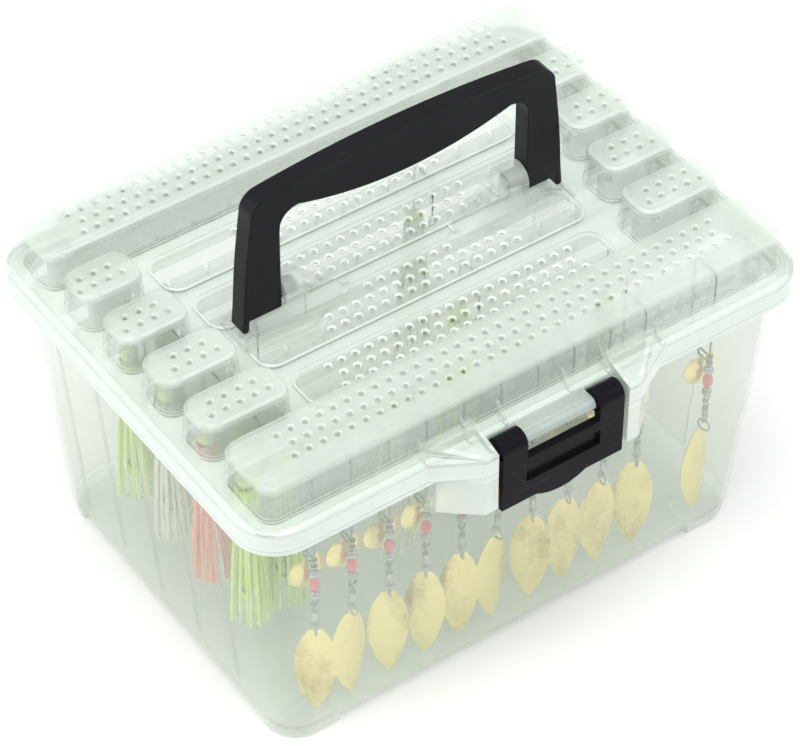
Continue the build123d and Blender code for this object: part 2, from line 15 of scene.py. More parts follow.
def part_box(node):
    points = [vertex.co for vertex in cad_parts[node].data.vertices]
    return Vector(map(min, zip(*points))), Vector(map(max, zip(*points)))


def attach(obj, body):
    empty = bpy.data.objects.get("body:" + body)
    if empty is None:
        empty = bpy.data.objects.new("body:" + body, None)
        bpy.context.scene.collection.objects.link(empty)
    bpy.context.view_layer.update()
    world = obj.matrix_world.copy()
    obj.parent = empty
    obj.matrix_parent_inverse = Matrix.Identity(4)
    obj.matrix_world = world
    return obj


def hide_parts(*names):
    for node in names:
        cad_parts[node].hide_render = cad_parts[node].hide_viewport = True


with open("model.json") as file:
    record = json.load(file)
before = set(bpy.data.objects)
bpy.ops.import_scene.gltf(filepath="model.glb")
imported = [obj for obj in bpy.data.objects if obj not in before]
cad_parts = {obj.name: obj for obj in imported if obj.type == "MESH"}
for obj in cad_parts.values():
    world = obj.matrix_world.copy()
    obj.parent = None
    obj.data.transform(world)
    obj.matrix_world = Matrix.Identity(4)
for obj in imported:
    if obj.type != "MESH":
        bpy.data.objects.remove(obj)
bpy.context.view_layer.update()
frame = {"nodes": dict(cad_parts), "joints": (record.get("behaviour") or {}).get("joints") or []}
MM = 0.001

bl_info = {
    "name": "Tackle Box Finishes",
    "version": (1, 0, 0),
    "blender": (4, 5, 0),
    "location": "View3D > Sidebar > Tackle Box",
    "description": "Gives a clear tackle box its plastic, its black handle and latch, and its lures",
    "category": "Object",
}

HANDLE_LOW, HANDLE_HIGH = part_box("handle")
LATCH_LOW, LATCH_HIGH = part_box("latch")
PIN_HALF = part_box("latch_pin")[1].x
JOINTS = {joint["name"]: Vector(joint["pos_m"]) for joint in frame["joints"]}
RACKS = sorted(name for name in frame["nodes"] if name.startswith("bait_rack"))


# ---- sizes and colours a user would change ------------------------------------------
def length(name, description, default):
    return bpy.props.FloatProperty(name=name, description=description, default=default, min=0.0,
                                   unit="LENGTH", precision=4)


def share(name, description, default):
    return bpy.props.FloatProperty(name=name, description=description, default=default, min=0.0, max=1.0,
                                   subtype="FACTOR")


def colour(name, description, default):
    return bpy.props.FloatVectorProperty(name=name, description=description, default=default, size=3,
                                         min=0.0, max=1.0, subtype="COLOR")


class TackleShellSettings(bpy.types.PropertyGroup):
    """The clear tub and lid, and the racks in them."""
    tint: colour("Tint", "Colour of the milky haze in the clear plastic", (0.81, 0.91, 0.79))
    lid_tint: colour("Lid tint", "Colour of the thin clear plastic of the lid", (0.72, 0.81, 0.72))
    rim_tint: colour("Rim tint", "Colour of the thick white rim", (0.84, 0.91, 0.86))
    wall_haze: share("Wall haze", "How much of the light one face of a tub wall stops", 0.21)
    lid_haze: share("Lid haze", "How much of the light one face of the lid stops", 0.24)
    rim_haze: share("Rim haze", "How much of the light one face of the rim stops", 0.72)
    rack_tint: colour("Rack tint", "Colour of the bait racks", (0.68, 0.75, 0.71))


class TackleHardwareSettings(bpy.types.PropertyGroup):
    """The black handle and latch."""
    black: colour("Black", "Colour of the handle and the latch", (0.006, 0.006, 0.008))
    handle_edge: length("Handle edge", "Width of the bevel round the handle's faces", 1.7 * MM)
    latch_edge: length("Latch edge", "Width of the bevel round the latch's edges", 0.6 * MM)
    slot_depth: length("Slot depth", "Depth of the slot in the latch's face", 2.2 * MM)


class TackleLureSettings(bpy.types.PropertyGroup):
    """The spinner lures."""
    gold: colour("Gold", "Colour of the spinner blades", (0.92, 0.76, 0.27))
    skirt: colour("Skirt", "Colour of the bright skirts", (0.60, 0.86, 0.02))
    skirt_length: bpy.props.FloatProperty(name="Skirt length", description="Strand length over core length",
                                          default=1.4, min=1.0, max=1.5)
    tail: colour("Tail", "Colour of the odd skirts", (0.95, 0.20, 0.08))
    bead: colour("Bead", "Colour of the oval beads", (0.82, 0.03, 0.10))
    blade_sheet: length("Blade sheet", "Thickness of a blade's metal", 0.6 * MM)
    strands: bpy.props.IntProperty(name="Strands", description="Strands in a skirt", default=34, min=6,
                                   max=90)


class TackleStageSettings(bpy.types.PropertyGroup):
    """The camera, the lights and the floor."""
    azimuth: bpy.props.FloatProperty(name="Azimuth", description="Camera's turn about the box",
                                     default=math.radians(-35.22), subtype="ANGLE")
    elevation: bpy.props.FloatProperty(name="Elevation", description="Camera's height above the horizon",
                                       default=math.radians(44.75), subtype="ANGLE")
    roll: bpy.props.FloatProperty(name="Roll", description="Camera's tilt about its own line of sight",
                                  default=math.radians(0.12), subtype="ANGLE")
    distance: length("Distance", "Camera's distance from the point it looks at", 1.69)
    lens: bpy.props.FloatProperty(name="Lens", description="Camera's focal length in millimetres",
                                  default=161.9)
    look_at: bpy.props.FloatVectorProperty(name="Look at", description="Point the camera looks at", size=3,
                                           default=(0.0049, 0.0066, 0.080), subtype="TRANSLATION")
    floor: colour("Floor", "Colour of the floor", (0.93, 0.93, 0.93))
    key: bpy.props.FloatProperty(name="Key", description="Power of the overhead soft light in watts",
                                 default=31.0)
    sky: bpy.props.FloatProperty(name="Sky", description="Strength of the even white surround", default=0.55)


# ---- shader graphs ------------------------------------------------------------------
# Numbers of the Mix node's two colour inputs and of its colour output.
MIX_COLOURS = (6, 7)
MIX_RESULT = 2


class Value:
    """One number of a shader graph. Arithmetic on it adds Math nodes."""

    def __init__(self, graph, socket):
        self.graph, self.socket = graph, socket

    def math(self, operation, first, second=0.0):
        return self.graph.node("ShaderNodeMath", {"operation": operation}, {0: first, 1: second})

    def __add__(self, other):
        return self.math("ADD", self, other)

    __radd__ = __add__

    def __sub__(self, other):
        return self.math("SUBTRACT", self, other)

    def __rsub__(self, other):
        return self.math("SUBTRACT", other, self)

    def __mul__(self, other):
        return self.math("MULTIPLY", self, other)

    __rmul__ = __mul__

    def __abs__(self):
        return self.math("ABSOLUTE", self)

    def larger(self, other):
        return self.math("MAXIMUM", self, other)


class Finish:
    """A procedural material: one Principled surface and the nodes that feed it."""

    def __init__(self, name, **fixed):
        self.material = bpy.data.materials.new(name)
        self.material.use_nodes = True
        self.tree = self.material.node_tree
        self.tree.nodes.clear()
        self.surface = self.tree.nodes.new("ShaderNodeBsdfPrincipled")
        output = self.tree.nodes.new("ShaderNodeOutputMaterial")
        self.tree.links.new(self.surface.outputs["BSDF"], output.inputs["Surface"])
        for socket, value in fixed.items():
            self.surface.inputs[socket.replace("_", " ").title().replace("Ior", "IOR")].default_value = value
        self.place = self.node("ShaderNodeTexCoord", out="Object")
        xyz = self.node("ShaderNodeSeparateXYZ", inputs={0: self.place}).socket.node
        self.x, self.y, self.z = (Value(self, xyz.outputs[i]) for i in range(3))

    def node(self, kind, settings=None, inputs=None, out=0):
        """Adds a node: its settings first, then the values or links of its sockets."""
        added = self.tree.nodes.new(kind)
        for key, value in (settings or {}).items():
            setattr(added, key, value)
        for key, value in (inputs or {}).items():
            if isinstance(value, Value):
                self.tree.links.new(value.socket, added.inputs[key])
            else:
                added.inputs[key].default_value = value
        return Value(self, added.outputs[out])

    def feed(self, socket, value):
        self.tree.links.new(value.socket, self.surface.inputs[socket])

    def noise(self, scale, detail=2.0, roughness=0.5, stretch=(1.0, 1.0, 1.0)):
        """Noise with features about 1 / scale metres wide, stretched along the axes."""
        place = self.node("ShaderNodeMapping", inputs={0: self.place, "Scale": stretch})
        return self.node("ShaderNodeTexNoise", inputs={"Vector": place, "Scale": scale, "Detail": detail,
                                                       "Roughness": roughness})

    def cells(self, scale, smoothness=0.4):
        """Rounded cells, as small hammer marks."""
        return self.node("ShaderNodeTexVoronoi", {"feature": "SMOOTH_F1"},
                         {"Vector": self.place, "Scale": scale, "Smoothness": smoothness})

    def rise(self, value, low, high):
        """0 below low, 1 above high and smooth between."""
        return self.node("ShaderNodeMapRange", {"interpolation_type": "SMOOTHSTEP"},
                         {"Value": value, "From Min": low, "From Max": high})

    def band(self, value, low, high, soft):
        """1 between low and high, with soft sides inside them."""
        return self.rise(value, low, low + soft) * (1.0 - self.rise(value, high - soft, high))

    def blend(self, factor, first, second):
        """A colour between two others."""
        sides = [side if isinstance(side, Value) else (*side, 1.0) for side in (first, second)]
        sockets = dict(zip(MIX_COLOURS, sides))
        return self.node("ShaderNodeMix", {"data_type": "RGBA"}, {0: factor, **sockets}, out=MIX_RESULT)

    def bump(self, height, distance, strength=1.0):
        self.feed("Normal", self.node("ShaderNodeBump", inputs={"Height": height, "Distance": distance,
                                                                "Strength": strength}))


# ---- modelling helpers --------------------------------------------------------------
def clear_selection():
    if bpy.context.mode != "OBJECT":
        bpy.ops.object.mode_set(mode="OBJECT")
    bpy.ops.object.select_all(action="DESELECT")


def edit(piece):
    """Makes piece the only one chosen and opens it in edit mode."""
    clear_selection()
    piece.select_set(True)
    bpy.context.view_layer.objects.active = piece
    bpy.ops.object.mode_set(mode="EDIT")
    bpy.ops.mesh.select_mode(type="VERT")
    bpy.ops.mesh.select_all(action="DESELECT")


def choose(piece, test):
    """In edit mode, chooses the vertices whose place passes the test."""
    mesh = bmesh.from_edit_mesh(piece.data)
    for vertex in mesh.verts:
        vertex.select_set(test(vertex.co))
    mesh.select_flush(True)
    bmesh.update_edit_mesh(piece.data)


def settle(piece):
    """Puts the object at the origin with its place in its mesh."""
    clear_selection()
    piece.select_set(True)
    bpy.context.view_layer.objects.active = piece
    bpy.ops.object.transform_apply(location=True, rotation=True, scale=True)


def apply_modifier(piece, kind, **settings):
    clear_selection()
    bpy.context.view_layer.objects.active = piece
    piece.select_set(True)
    modifier = piece.modifiers.new(kind.title(), kind)
    for key, value in settings.items():
        setattr(modifier, key, value)
    bpy.ops.object.modifier_apply(modifier=modifier.name)


def cut(piece, cutter):
    """Takes the cutter's space out of the piece."""
    apply_modifier(piece, "BOOLEAN", operation="DIFFERENCE", solver="EXACT", object=cutter)
    bpy.data.objects.remove(cutter)


def join(pieces):
    clear_selection()
    for piece in pieces:
        piece.select_set(True)
    bpy.context.view_layer.objects.active = pieces[0]
    bpy.ops.object.join()
    return pieces[0]


def smooth(piece, degrees=35.0):
    clear_selection()
    piece.select_set(True)
    bpy.context.view_layer.objects.active = piece
    bpy.ops.object.shade_smooth_by_angle(angle=math.radians(degrees))
    apply_modifier(piece, "WEIGHTED_NORMAL", keep_sharp=True)


def block(low, high):
    """A box from its low corner to its high corner."""
    clear_selection()
    low, high = Vector(low), Vector(high)
    bpy.ops.mesh.primitive_cube_add(size=1.0, location=(low + high) / 2, scale=high - low)
    piece = bpy.context.object
    settle(piece)
    return piece


def round_bar(start, end, radius, sides=32):
    """A round bar between two points on a line along X or Y."""
    clear_selection()
    start, end = Vector(start), Vector(end)
    turn = (0, math.pi / 2, 0) if abs(end.x - start.x) > abs(end.y - start.y) else (math.pi / 2, 0, 0)
    bpy.ops.mesh.primitive_cylinder_add(vertices=sides, radius=radius, depth=(end - start).length,
                                        location=(start + end) / 2, rotation=turn)
    piece = bpy.context.object
    settle(piece)
    return piece


def drawn_slab(points, thickness):
    """An outline drawn point by point from one vertex, filled, and extruded by a vector."""
    clear_selection()
    bpy.ops.mesh.primitive_plane_add(size=MM, location=points[0])
    piece = bpy.context.object
    edit(piece)
    bpy.ops.mesh.select_all(action="SELECT")
    bpy.ops.mesh.merge(type="CENTER")
    for before, after in zip(points, points[1:] + points[:1]):
        step = Vector(after) - Vector(before)
        bpy.ops.mesh.extrude_vertices_move(TRANSFORM_OT_translate={"value": step})
    bpy.ops.mesh.select_all(action="SELECT")
    bpy.ops.mesh.remove_doubles(threshold=0.02 * MM)
    bpy.ops.mesh.edge_face_add()
    bpy.ops.mesh.extrude_region_move(TRANSFORM_OT_translate={"value": thickness})
    bpy.ops.mesh.select_all(action="SELECT")
    bpy.ops.mesh.normals_make_consistent(inside=False)
    settle(piece)
    return piece


def arc(start, middle, end, steps):
    """Points on the circle arc through three (x, z) points, without the last one."""
    (ax, az), (bx, bz), (cx, cz) = start, middle, end
    twice = 2 * (ax * (bz - cz) + bx * (cz - az) + cx * (az - bz))
    a, b, c = ax * ax + az * az, bx * bx + bz * bz, cx * cx + cz * cz
    centre = Vector(((a * (bz - cz) + b * (cz - az) + c * (az - bz)) / twice,
                     (a * (cx - bx) + b * (ax - cx) + c * (bx - ax)) / twice))
    spokes = [Vector(point) - centre for point in (start, middle, end)]
    angle = -(spokes[0].angle_signed(spokes[1]) + spokes[1].angle_signed(spokes[2]))
    turned = [Matrix.Rotation(angle * i / steps, 2) @ spokes[0] + centre for i in range(steps)]
    return [(point.x, point.y) for point in turned]


def islands(node):
    """Each separate solid of a CAD node: its centre, corners and turn about Z."""
    clear_selection()
    copy = bpy.data.objects.new("Islands", frame["nodes"][node].data.copy())
    bpy.context.scene.collection.objects.link(copy)
    edit(copy)
    bpy.ops.mesh.select_all(action="SELECT")
    bpy.ops.mesh.remove_doubles(threshold=0.01 * MM)
    bpy.ops.mesh.separate(type="LOOSE")
    bpy.ops.object.mode_set(mode="OBJECT")
    found = []
    for part in list(bpy.context.selected_objects):
        places = [vertex.co.copy() for vertex in part.data.vertices]
        low = Vector([min(place[i] for place in places) for i in range(3)])
        high = Vector([max(place[i] for place in places) for i in range(3)])
        middle = (low + high) / 2
        xx = sum((place.x - middle.x) ** 2 for place in places)
        yy = sum((place.y - middle.y) ** 2 for place in places)
        xy = sum((place.x - middle.x) * (place.y - middle.y) for place in places)
        found.append((middle, low, high, 0.5 * math.atan2(2 * xy, xx - yy)))
        bpy.data.objects.remove(part)
    return sorted(found, key=lambda one: (round(one[0].y, 3), round(one[0].x, 3)))


def dress(piece, name, finish, body, slot, *nodes):
    """Names a new piece, gives it its finish and its body, and hides the nodes it stands for."""
    piece.name = piece.data.name = name
    piece.data.materials.clear()
    piece.data.materials.append(finish.material)
    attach(piece, body)
    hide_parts(*nodes)


def paint(node, finish):
    """Gives a CAD node its finish."""
    mesh_object = frame["nodes"][node]
    for slot in mesh_object.material_slots:
        slot.material = finish.material
    if not mesh_object.material_slots:
        mesh_object.data.materials.append(finish.material)


def spread_copies(model, places, name, finishes, slot, node):
    """One copy of the model, with its own mesh, for each (matrix, finish index)."""
    for number, (matrix, which) in enumerate(places, 1):
        piece = bpy.data.objects.new(name, model.data.copy())
        bpy.context.scene.collection.objects.link(piece)
        piece.data.transform(matrix)
        dress(piece, f"{name}_{number:02d}", finishes[which], "tub", slot, node)
    bpy.data.objects.remove(model)


# ---- finishes -----------------------------------------------------------------------
PLASTIC_IOR = 1.5
# Colour of the painted shade in the lid's holes.
HOLE_SHADE = (0.16, 0.17, 0.16)

# Heights, in metres, between which the clear plastic changes.
TUB_LIP = (0.1458, 0.1492)
TUB_FEET = (0.0052, 0.0085)
TUB_FLOOR = (0.0090, 0.0110)
BRACKET_FOOT = (0.1240, 0.1262)
LID_SKIRT = (0.1572, 0.1586)
DECK_TOP = (0.1596, 0.1604)
STRIP_BORE = (0.16012, 0.16042)
STRIP_CONE = (0.1604, 0.16137)
RIDGE_BROW = (0.1750, 0.17897)
RIDGE_TOP = (0.1765, 0.1785)
RIDGE_BORE = (0.17715, 0.17802)
RIDGE_CONE = (0.17802, 0.17897)
CONE_SOFT, BORE_SOFT = 0.0001, 0.00008

# The same from front to back, for the tub's brackets and the lid's latch mount above them.
BRACKET_DEPTH = (-0.1110, -0.1096)
MOUNT_DEPTH = (-0.1126, -0.1108)

# The same from the middle outwards, for the latch bar and the latch mount round it.
BAR_END = (0.0183, 0.0187)
MOUNT_END = (0.066, 0.069)

# Half widths of the lid and of its block of ridges, and how far inside them each band lies.
LID_HALF, RIM_INSET = Vector((0.150, 0.112)), (-0.0052, -0.0034)
RIDGE_HALF, RIDGE_INSET = Vector((0.139, 0.101)), (-0.0080, -0.0070)


def clear_plastic(name, base_haze):
    """Milky clear plastic; returns the finish and its haze, which drifts a little over the surface."""
    finish = Finish(name, ior=PLASTIC_IOR, coat_weight=0.6, coat_roughness=0.06)
    clouds = finish.noise(18.0, 3.0)
    streaks = finish.noise(55.0, 3.0, 0.6, stretch=(1.0, 1.0, 0.12))
    haze = base_haze + (clouds - 0.5) * 0.08 + (streaks - 0.5) * 0.07
    finish.feed("Roughness", 0.16 + clouds * 0.14)
    finish.bump(clouds * 0.8 + streaks * 0.2, 0.6 * MM, 0.6)
    return finish, haze


def tub_finish(settings):
    """Clear tub: hazier at its lip, feet, floor and latch brackets."""
    finish, haze = clear_plastic("Clear tub", settings.wall_haze)
    lip = finish.band(finish.z, *TUB_LIP, 0.0002)
    feet = 1.0 - finish.rise(finish.z, *TUB_FEET)
    floor = 1.0 - finish.rise(finish.z, *TUB_FLOOR)
    bracket = (1.0 - finish.rise(finish.y, *BRACKET_DEPTH)) * finish.rise(finish.z, *BRACKET_FOOT)
    thick = lip.larger(feet * 0.45).larger(bracket * 0.8).larger(floor * 0.15)
    finish.feed("Alpha", haze + thick * (settings.rim_haze - settings.wall_haze))
    finish.feed("Base Color", finish.blend(thick, settings.tint, settings.rim_tint))
    return finish


def lid_finish(settings):
    """Clear lid: hazier at its skirt, rim and latch mount; hazier and whiter at its ridge brows, hole edges
    and ridge tops as a painted highlight; painted shade in its holes.
    """
    finish, haze = clear_plastic("Clear lid", settings.lid_haze)
    across, along = abs(finish.x), abs(finish.y)
    skirt = 1.0 - finish.rise(finish.z, *LID_SKIRT)
    rim = finish.rise((across - LID_HALF.x).larger(along - LID_HALF.y), *RIM_INSET)
    low_deck = 1.0 - finish.rise(finish.z, *DECK_TOP)
    # Brow: the ridges' rounded top edges, hazier and whiter, partly for the thicker plastic there and partly
    # as a painted highlight.
    brow_highlight = finish.band(finish.z, *RIDGE_BROW, 0.0012)
    # Ring: the cones round the holes in the low strips, whitened as a painted highlight.
    ring_highlight = finish.band(finish.z, *STRIP_CONE, CONE_SOFT)
    front = 1.0 - finish.rise(finish.y, *MOUNT_DEPTH)
    beside_bar = finish.rise(across, *BAR_END)
    mount = front * (1.0 - finish.rise(across, *MOUNT_END)) * beside_bar
    bar = front * (1.0 - beside_bar)
    high_bore = finish.band(finish.z, *RIDGE_BORE, CONE_SOFT)
    low_bore = finish.band(finish.z, *STRIP_BORE, BORE_SOFT)
    inside = 1.0 - finish.rise((across - RIDGE_HALF.x).larger(along - RIDGE_HALF.y), *RIDGE_INSET)
    # Collar: the cones round the holes in the ridge tops, whitened as a painted highlight.
    collar_highlight = finish.band(finish.z, *RIDGE_CONE, CONE_SOFT) * inside
    # Top: the ridge tops, hazier and whiter as a painted sheen from the overhead light.
    top = finish.rise(finish.z, *RIDGE_TOP)
    # thick gathers the real thick plastic (skirt, rim, latch mount) with the painted highlights on the
    # brows, hole cones and ridge tops.
    thick = skirt.larger(rim * low_deck * 0.6).larger(brow_highlight * 0.34).larger(ring_highlight * 0.85).larger(collar_highlight * 0.45)
    thick = (thick.larger(mount * 0.55).larger(top * 0.22)) * (1.0 - bar * 0.75)
    # Painted shade: the hole bores are darkened towards HOLE_SHADE and made less see-through.
    dark = (high_bore * 0.25).larger(low_bore) * inside
    finish.feed("Alpha", (haze + thick * (settings.rim_haze - settings.lid_haze)).larger(dark * 0.8))
    tint_outside_holes = finish.blend(thick, settings.lid_tint, settings.rim_tint)
    finish.feed("Base Color", finish.blend(dark, tint_outside_holes, HOLE_SHADE))
    return finish


def rack_finish(settings):
    """Frosted plastic of the bait racks, a little hazier at their tops."""
    finish = Finish("Milky rack", ior=PLASTIC_IOR)
    clouds = finish.noise(60.0, 3.0)
    top = finish.rise(finish.z, 0.150, 0.165)
    finish.feed("Base Color", finish.blend(clouds, settings.rack_tint, (0.80, 0.85, 0.81)))
    finish.feed("Roughness", 0.28 + clouds * 0.2)
    finish.feed("Alpha", 0.22 + clouds * 0.12 + top * 0.10)
    finish.bump(clouds, 0.4 * MM, 0.4)
    return finish


def black_finish(name, tint, roughness, grain_height, shine):
    """Black moulded plastic with a fine grain and a little wear."""
    finish = Finish(name, ior=PLASTIC_IOR, specular_ior_level=shine)
    grain = finish.cells(1500.0)
    clouds = finish.noise(30.0, 4.0)
    scuffs = finish.rise(finish.noise(180.0, 5.0, 0.65, stretch=(0.25, 1.0, 1.0)), 0.60, 0.78)
    lighter = tuple(min(1.0, channel * 2.6 + 0.006) for channel in tint)
    finish.feed("Base Color", finish.blend(clouds * 0.35 + scuffs * 0.5, tint, lighter))
    finish.feed("Roughness", roughness + (clouds - 0.5) * 0.10 + scuffs * 0.12)
    finish.bump(grain * grain_height + scuffs * 0.1, 0.06 * MM, 0.5)
    return finish


def metal_finish(name, bright, dull, roughness, scale=300.0):
    """Plain metal, blotched between its bright and dull shades."""
    finish = Finish(name, metallic=1.0)
    marks = finish.noise(scale, 4.0, 0.6)
    finish.feed("Base Color", finish.blend(marks, dull, bright))
    finish.feed("Roughness", roughness + (marks - 0.5) * 0.2)
    finish.bump(marks, 0.05 * MM, 0.4)
    return finish


def gold_finish(gold):
    """Hammered brass sheet: small dimples and brushed roughness, with darker and paler streaks painted as
    reflections.
    """
    finish = Finish("Hammered gold", metallic=1.0)
    dimples = finish.cells(520.0, 0.7)
    # Stretched noise for the painted reflection streaks on the blades; it also varies their roughness and
    # bump.
    reflection_streaks = finish.noise(48.0, 3.0, 0.5, stretch=(1.0, 1.0, 0.6))
    dark_reflection = tuple(channel * part for channel, part in zip(gold, (0.60, 0.51, 0.38)))
    # Painted reflection: the colour runs from the dark reflection shade to the gold along the streaks, a
    # little darker in the dimples.
    reflection_mask = finish.rise(reflection_streaks + dimples * 0.15, 0.30, 0.62)
    finish.feed("Base Color", finish.blend(reflection_mask, dark_reflection, gold))
    finish.feed("Roughness", 0.22 + reflection_streaks * 0.16)
    finish.bump(dimples + reflection_streaks * 0.8, 0.45 * MM, 0.52)
    return finish


def plastic_finish(name, tint, roughness):
    """Coloured bead plastic or paint with a faint swirl."""
    finish = Finish(name, ior=PLASTIC_IOR)
    swirl = finish.noise(220.0, 3.0)
    darker = tuple(channel * 0.75 for channel in tint)
    finish.feed("Base Color", finish.blend(swirl, darker, tint))
    finish.feed("Roughness", roughness + swirl * 0.1)
    finish.bump(swirl, 0.05 * MM, 0.3)
    return finish


def rubber_finish(name, tint):
    """Soft skirt rubber, paler and deeper from strand to strand."""
    finish = Finish(name, ior=1.42)
    strands = finish.noise(600.0, 2.0, 0.5, stretch=(1.0, 1.0, 0.08))
    pale = tuple(min(1.0, channel * 0.8 + 0.2) for channel in tint)
    finish.feed("Base Color", finish.blend(finish.rise(strands, 0.35, 0.65), tint, pale))
    finish.feed("Roughness", 0.42 + strands * 0.2)
    finish.bump(strands, 0.1 * MM, 0.4)
    return finish


# ---- one operator for each piece ----------------------------------------------------
# Handle, in millimetres: the inner face of a leg, the two ends of its trunnion and the trunnion's radius.
LEG_IN = 67.0
TRUNNION_OUT, TRUNNION_IN, TRUNNION_RADIUS = 70.5, 58.4, 4.2

# Latch, in metres: its lower edge, its back face as (y, z), the gap between the knuckles, and the slot.
PLATE_LOW = 0.1225
PLATE_BACK = [(-0.1200, 0.1500), (-0.1212, 0.1400), (-0.1217, PLATE_LOW)]
KNUCKLE_GAP = PIN_HALF - 10.0 * MM
GAP_LOW, GAP_HIGH = 0.1483, 0.17
SLOT_HALF, SLOT_LOW, SLOT_HIGH = 0.020, 0.1340, 0.1424
THROUGH = 0.01

# Skirt finishes: 0 is bright, 1 is the odd colour, and every skirt not named here is pale. The skirts are
# counted from the front rack to the back one, and from left to right along each.
SKIRT_FINISHES = {0: 0, 1: 0, 2: 2, 3: 2, 4: 1, 5: 0, 6: 0, 9: 0}
PALE_SKIRT = (0.72, 0.76, 0.62)

# One strand: its radius, its start outside the axis, and where it bends as (share of its length, share of
# its full spread). Each strand stands a golden angle, in radians, on from the one before.
STRAND_RADIUS, STRAND_OUT = 0.55 * MM, 3.3 * MM
STRAND_BENDS = ((0.2, 0.12), (0.45, 0.45), (0.72, 0.80), (0.975, 1.0))
GOLDEN_ANGLE = 2.39996

# Soft boxes: name, place, width and share of the key light's power.
SOFT_BOXES = (("Overhead soft box", (-0.35, -0.25, 1.9), 1.5, 1.0),
              ("Right soft box", (1.5, -1.3, 1.1), 1.1, 0.35),
              ("Left soft box", (-1.6, 0.6, 1.0), 1.1, 0.3))


class TACKLE_OT_shell(bpy.types.Operator):
    """Finish the clear tub and lid"""
    bl_idname = "tackle.shell"
    bl_label = "Clear Tub and Lid"

    def execute(self, context):
        settings = context.scene.tackle_shell
        paint("tub", tub_finish(settings))
        paint("lid", lid_finish(settings))
        return {"FINISHED"}


class TACKLE_OT_racks(bpy.types.Operator):
    """Finish the six bait racks"""
    bl_idname = "tackle.racks"
    bl_label = "Bait Racks"

    def execute(self, context):
        finish = rack_finish(context.scene.tackle_shell)
        for rack in RACKS:
            paint(rack, finish)
        return {"FINISHED"}


class TACKLE_OT_pins(bpy.types.Operator):
    """Finish the hinge pins and the latch pin"""
    bl_idname = "tackle.pins"
    bl_label = "Steel Pins"

    def execute(self, context):
        finish = metal_finish("Pin steel", (0.40, 0.46, 0.60), (0.20, 0.24, 0.34), 0.30)
        paint("hinge_pins", finish)
        paint("latch_pin", finish)
        return {"FINISHED"}


class TACKLE_OT_small_metal(bpy.types.Operator):
    """Finish the lure wires, hooks, beads, clevises, swivels and rings"""
    bl_idname = "tackle.small_metal"
    bl_label = "Lure Metalwork"

    def execute(self, context):
        lures = context.scene.tackle_lure
        wire = metal_finish("Lure wire", (0.34, 0.36, 0.40), (0.10, 0.11, 0.13), 0.30)
        nickel = metal_finish("Nickel", (0.62, 0.64, 0.66), (0.12, 0.13, 0.15), 0.14, 450.0)
        for node in ("lure_wires", "hooks"):
            paint(node, wire)
        for node in ("silver_beads", "clevises", "swivels", "split_rings"):
            paint(node, nickel)
        paint("red_beads", plastic_finish("Red bead", tuple(lures.bead), 0.12))
        paint("lead_heads", plastic_finish("Head paint", (0.72, 0.80, 0.30), 0.25))
        return {"FINISHED"}


class TACKLE_OT_handle(bpy.types.Operator):
    """Model the arched black handle with its legs and trunnions"""
    bl_idname = "tackle.handle"
    bl_label = "Handle"

    def execute(self, context):
        settings = context.scene.tackle_hardware
        half = (HANDLE_HIGH.y - HANDLE_LOW.y) / 2
        pivot = JOINTS["handle_pivot"]
        finish = black_finish("Black handle", tuple(settings.black), 0.34, 0.8, 0.15)
        bow = drawn_slab([(x * MM, -half, z * MM) for x, z in self.outline()], (0, 2 * half, 0))
        apply_modifier(bow, "BEVEL", width=settings.handle_edge, segments=3, limit_method="ANGLE",
                       angle_limit=math.radians(40), profile=0.6)
        parts = [bow]
        for side in (-1, 1):
            stub = round_bar((side * TRUNNION_OUT * MM, pivot.y, pivot.z),
                             (side * TRUNNION_IN * MM, pivot.y, pivot.z), TRUNNION_RADIUS * MM)
            apply_modifier(stub, "BEVEL", width=0.7 * MM, segments=2, limit_method="ANGLE",
                           angle_limit=math.radians(40))
            parts.append(stub)
        handle = join(parts)
        smooth(handle)
        dress(handle, "bail_handle", finish, "handle", "black_plastic", "handle")
        return {"FINISHED"}

    @staticmethod
    def outline():
        """Closed outline in millimetres (x, z), from the left leg's tab round over the grip."""
        top = HANDLE_HIGH.z / MM
        left = [(-87.9, 166.4), (-86.9, 176.0), (-85.9, 192.0), (-84.6, 207.0), (-82.6, 224.0)]
        shoulder = arc((-81.9, 229.0), (-80.2, 235.0), (-74.5, 238.9), 5)
        crown = arc((-74.5, 238.9), (0.0, top), (74.5, 238.9), 24)
        other = [(-x, z) for x, z in reversed(shoulder)]
        right = [(-x, z) for x, z in reversed(left)]
        tab = [(86.9, 165.2), (85.3, 165.2), (84.4, 166.2), (84.0, 171.6), (LEG_IN, 171.6), (LEG_IN, 214.0)]
        armpit = arc((LEG_IN, 217.0), (64.8, 223.6), (57.0, 227.3), 5)
        belly = arc((57.0, 227.3), (0.0, 218.6), (-57.0, 227.3), 22)
        return (left + shoulder + crown + [(74.5, 238.9)] + other + right + tab + armpit + belly
                + [(-57.0, 227.3)] + [(-x, z) for x, z in reversed(armpit)][:-1]
                + [(-x, z) for x, z in reversed(tab)])


